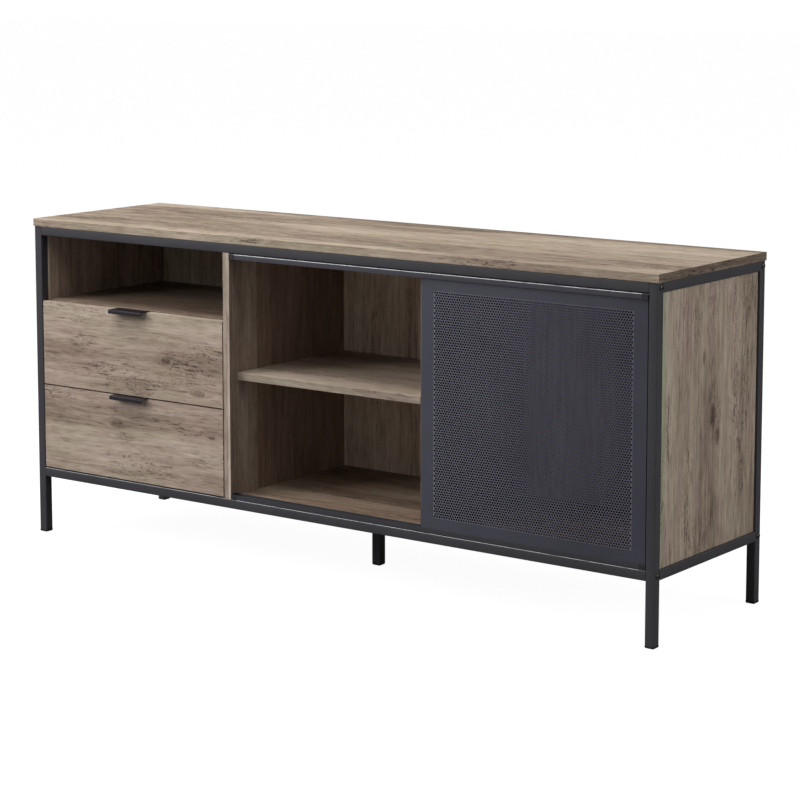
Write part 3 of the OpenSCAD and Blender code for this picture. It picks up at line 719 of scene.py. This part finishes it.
def perforatedSheet(s):
    # six-sided cells, each with a round hole. Cells on the border reach out to the sheet's edge,
    # so the plain margin is part of them
    lo, hi = (np.array(v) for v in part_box("door_sheet"))
    pitch, rows, columns = s["pitch"] * mm, s["rows"], s["columns"]
    rowStep, corner = pitch * math.sqrt(3) / 2, pitch / math.sqrt(3)
    outerAngles = np.arange(6) * 60 + 30
    innerAngles = np.arange(s["sides"]) * 360 / s["sides"]
    ring = zipTriangles(outerAngles, innerAngles)
    j, i = (a.ravel() for a in np.meshgrid(np.arange(rows), np.arange(columns), indexing="ij"))
    x = (lo[0] + hi[0]) / 2 + (i - (columns - 1) / 2) * pitch + np.where(j % 2 == 0, -pitch / 4, pitch / 4)
    z = (lo[2] + hi[2]) / 2 + (j - (rows - 1) / 2) * rowStep
    wide, tall = np.cos(np.radians(outerAngles)), np.sin(np.radians(outerAngles))
    outer = np.stack([x[:, None] + corner * wide, z[:, None] + corner * tall], 2)
    outer[:, :, 0] = np.where((i == 0)[:, None] & (j % 2 == 0)[:, None] & (wide < -0.1), lo[0], outer[:, :, 0])
    outer[:, :, 0] = np.where(
        (i == columns - 1)[:, None] & (j % 2 == 1)[:, None] & (wide > 0.1), hi[0], outer[:, :, 0],
    )
    outer[:, :, 1] = np.where((j == 0)[:, None] & (tall < 0), lo[2], outer[:, :, 1])
    outer[:, :, 1] = np.where((j == rows - 1)[:, None] & (tall > 0), hi[2], outer[:, :, 1])
    radius = s["hole"] * mm / 2 / math.sqrt(math.sin(2 * math.pi / s["sides"]) * s["sides"] / (2 * math.pi))
    inner = np.stack(
        [
            x[:, None] + radius * np.cos(np.radians(innerAngles)),
            z[:, None] + radius * np.sin(np.radians(innerAngles)),
        ],
        2,
    )
    cells = np.concatenate([outer, inner], 1)
    # corner numbers: 0 right upper, 2 left upper, 3 left lower, 5 right lower
    grid = outer.reshape(rows, columns, 6, 2)
    fillers = []
    odd, even = np.arange(1, rows, 2), np.arange(0, rows, 2)
    fillers.append((odd, np.stack([grid[odd, 0, 2], grid[odd + 1, 0, 3], grid[odd - 1, 0, 2], grid[odd, 0, 3]], 1)))
    above = np.where((even < rows - 1)[:, None], grid[np.minimum(even + 1, rows - 1), -1, 5], (hi[0], hi[2]))
    below = np.where((even > 0)[:, None], grid[np.maximum(even - 1, 0), -1, 0], (hi[0], lo[2]))
    fillers.append((even, np.stack([grid[even, -1, 5], below, above, grid[even, -1, 0]], 1)))
    size = rows // s["bands"]
    for k in range(s["bands"]):
        low, high = k * size, rows if k == s["bands"] - 1 else (k + 1) * size
        chosen = cells[(j >= low) & (j < high)]
        flat = chosen.reshape(-1, 2)
        triangles = (np.arange(len(chosen))[:, None, None] * cells.shape[1] + ring).reshape(-1, 3)
        for rowNumbers, quads in fillers:
            picked = quads[(rowNumbers >= low) & (rowNumbers < high)]
            start = len(flat)
            flat = np.concatenate([flat, picked.reshape(-1, 2)])
            base = start + np.arange(len(picked))[:, None] * 4
            triangles = np.concatenate([triangles, base + [0, 1, 2], base + [0, 2, 3]])
        keys, back = np.unique(np.round(flat / (0.01 * mm)).astype(np.int64), axis=0, return_inverse=True)
        first = np.zeros(len(keys), np.int64)
        first[back.ravel()] = np.arange(len(flat))
        flat, triangles = flat[first], back.ravel()[triangles]
        triangles = triangles[
            (triangles[:, 0] != triangles[:, 1]) & (triangles[:, 1] != triangles[:, 2]) & (
                triangles[:, 0] != triangles[:, 2]
            )
        ]
        count = len(flat)
        edges = np.concatenate([triangles[:, [0, 1]], triangles[:, [1, 2]], triangles[:, [2, 0]]])
        edgeKey = edges.min(1) * count + edges.max(1)
        _, place, times = np.unique(edgeKey, return_index=True, return_counts=True)
        rim = edges[place[times == 1]]
        walls = np.stack([rim[:, 1], rim[:, 0], rim[:, 0] + count, rim[:, 1] + count], 1)
        front = np.stack([flat[:, 0], np.full(count, lo[1]), flat[:, 1]], 1)
        rear = front + [0, hi[1] - lo[1], 0]
        loops = np.concatenate([triangles.ravel(), (triangles[:, ::-1] + count).ravel(), walls.ravel()])
        sizes = np.concatenate([np.full(len(triangles) * 2, 3), np.full(len(walls), 4)])
        mesh = bpy.data.meshes.new("door_mesh_%d" % (k + 1))
        mesh.vertices.add(count * 2)
        mesh.vertices.foreach_set("co", np.concatenate([front, rear]).astype(np.float32).ravel())
        mesh.loops.add(len(loops))
        mesh.loops.foreach_set("vertex_index", loops.astype(np.int32))
        mesh.polygons.add(len(sizes))
        mesh.polygons.foreach_set("loop_start", (np.cumsum(sizes) - sizes).astype(np.int32))
        mesh.update(calc_edges=True)
        mesh.shade_flat()
        mesh.materials.append(skins["doorMetal"])
        piece = bpy.data.objects.new(mesh.name, mesh)
        scene.collection.objects.link(piece)
        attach(piece, "door")
        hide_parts("door_sheet")
        print("door mesh band %d: %d faces" % (k + 1, len(sizes)))


perforatedSheet(doorMeshSettings)


stripSettings = {
    "upper_pull": {"body": "drawer_upper", "skin": "pullMetal", "thick": 1.2, "bend": 2.2, "lip": 7.0, "steps": 6},
    "lower_pull": {"body": "drawer_lower", "skin": "pullMetal", "thick": 1.2, "bend": 2.2, "lip": 7.0, "steps": 6},
    "top_track": {
        "body": "cabinet", "skin": "trackMetal", "thick": 1.5, "bend": 1.6, "steps": 6, "seat": 1.8,
        "spacer": (-193.0, -185.0),
    },
    "bottom_track": {"body": "cabinet", "skin": "blackMetal", "thick": 1.5, "bend": 2.0, "steps": 6},
}


def bentStrip(name, path, s, x0, x1, blocks=()):
    # a strip bent twice: the outer line through the path's corners, and the same line one thickness inside
    t, r = s["thick"] * mm, s["bend"] * mm
    path = np.array(path)
    along = np.diff(path, axis=0)
    along /= np.linalg.norm(along, axis=1)[:, None]
    turn = np.linspace(0, math.pi / 2, s["steps"] + 1)[:, None]
    rows = []
    for d in (0.0, t):
        arcs = [
            path[k + 1] - r * along[k] + r * along[k + 1] + (r - d) * (
                np.sin(turn) * along[k] - np.cos(turn) * along[k + 1]
            ) for k in (0, 1)
        ]
        rows.append(np.concatenate([[path[0] + d * along[1]], arcs[0], arcs[1], [path[3] - d * along[1]]]))
    outline = np.concatenate([rows[0], rows[1][::-1]])
    ease = 0.25 * mm
    count, half = len(outline), len(rows[0])
    middle = (np.concatenate([rows[0] + rows[1], (rows[0] + rows[1])[::-1]])) / 2
    shrunk = middle + (outline - middle) * 0.55
    levels = [(shrunk, x0), (outline, x0 + ease), (outline, x1 - ease), (shrunk, x1)]
    points = np.concatenate([np.stack([np.full(count, x), line[:, 0], line[:, 1]], 1) for line, x in levels])
    faces = gridFaces(4, count, closeColumns=True).tolist()
    k = np.arange(half - 1)
    cap = np.stack([k, k + 1, count - 2 - k, count - 1 - k], 1)
    faces += cap[:, ::-1].tolist() + (cap + 3 * count).tolist()
    for low, high in blocks:
        corners = np.array(np.meshgrid(*zip(low, high), indexing="ij")).reshape(3, 8).T
        faces += (
            np.array(
                [(0, 1, 3, 2), (4, 6, 7, 5), (0, 4, 5, 1), (2, 3, 7, 6), (0, 2, 6, 4), (1, 5, 7, 3)]
            ) + len(points)
        ).tolist()
        points = np.concatenate([points, corners])
    return addPiece(name + "_bent", points, faces, s["body"], skins[s["skin"]], [name], smooth=True)


for name, s in stripSettings.items():
    (x0, y0, z0), (x1, y1, z1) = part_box(name)
    if name == "bottom_track":
        bentStrip(name, [(y0, z1), (y0, z0), (y1, z0), (y1, z1)], s, x0, x1)
    elif name == "top_track":
        seat = z1 - s["seat"] * mm
        near, far = (v * mm for v in s["spacer"])
        bentStrip(
            name, [(y1, z0), (y1, seat), (y0, seat), (y0, z0)], s, x0, x1,
            [((x0, near, seat - 0.2 * mm), (x1, far, z1))],
        )
    else:
        bentStrip(name, [(y1, z0), (y1, z1), (y0, z1), (y0, z1 - (s["lip"] + s["thick"]) * mm)], s, x0, x1)
print("pulls and tracks made")


boltSettings = {"head": 5.5, "rise": 3.0, "socket": 2.2, "deep": 1.9, "shank": 3.0, "length": 31.0, "around": 36}


def buttonBolts(s):
    # a domed head turned round its axis, with a six-sided socket: radius and height along the profile
    dome = np.linspace(0, 1, 7)
    radii = [0.0, -1.0, -1.0] + (3.0 + (s["head"] - 3.0) * dome).tolist() + [s["head"], s["shank"], s["shank"], 0.0]
    socketFloor = s["rise"] - s["deep"]
    domeHeights = 0.7 + (s["rise"] - 0.7) * np.sqrt(1 - dome**2 * 0.98)
    heights = [socketFloor, socketFloor, s["rise"] - 0.1] + domeHeights.tolist() + [
        0.0, 0.0, -s["length"], -s["length"],
    ]
    angle = np.linspace(0, 2 * math.pi, s["around"], endpoint=False)
    hexagon = s["socket"] / np.cos((angle % (math.pi / 3)) - math.pi / 6)
    radius = np.stack([hexagon if r < 0 else np.full_like(angle, r) for r in radii])
    height = np.array(heights)[:, None] + 0 * radius
    ring = gridFaces(len(radii), len(angle), closeColumns=True)
    legLow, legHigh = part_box("leg_front_right")
    across = (legLow[1] + legHigh[1]) / 2
    rails = [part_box("rail_bottom_left"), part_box("rail_top_left")]
    heightsOnLeg = [(low[2] + high[2]) / 2 for low, high in rails]
    points, faces = [], []
    for side in (-1, 1):
        for y in (across, -across):
            for z in heightsOnLeg:
                base = len(points) * radius.size
                local = np.stack(
                    [
                        side * (legHigh[0] + height * mm), y + radius * mm * np.cos(angle),
                        z + radius * mm * np.sin(angle),
                    ],
                    2,
                )
                points.append(local.reshape(-1, 3))
                faces.append((ring if side > 0 else ring[:, ::-1]) + base)
    return addPiece(
        "frame_bolts_domed", np.concatenate(points), np.concatenate(faces), "cabinet",
        skins["boltMetal"], ["frame_bolts"], smooth=True,
    )


buttonBolts(boltSettings)
print("bolts made")
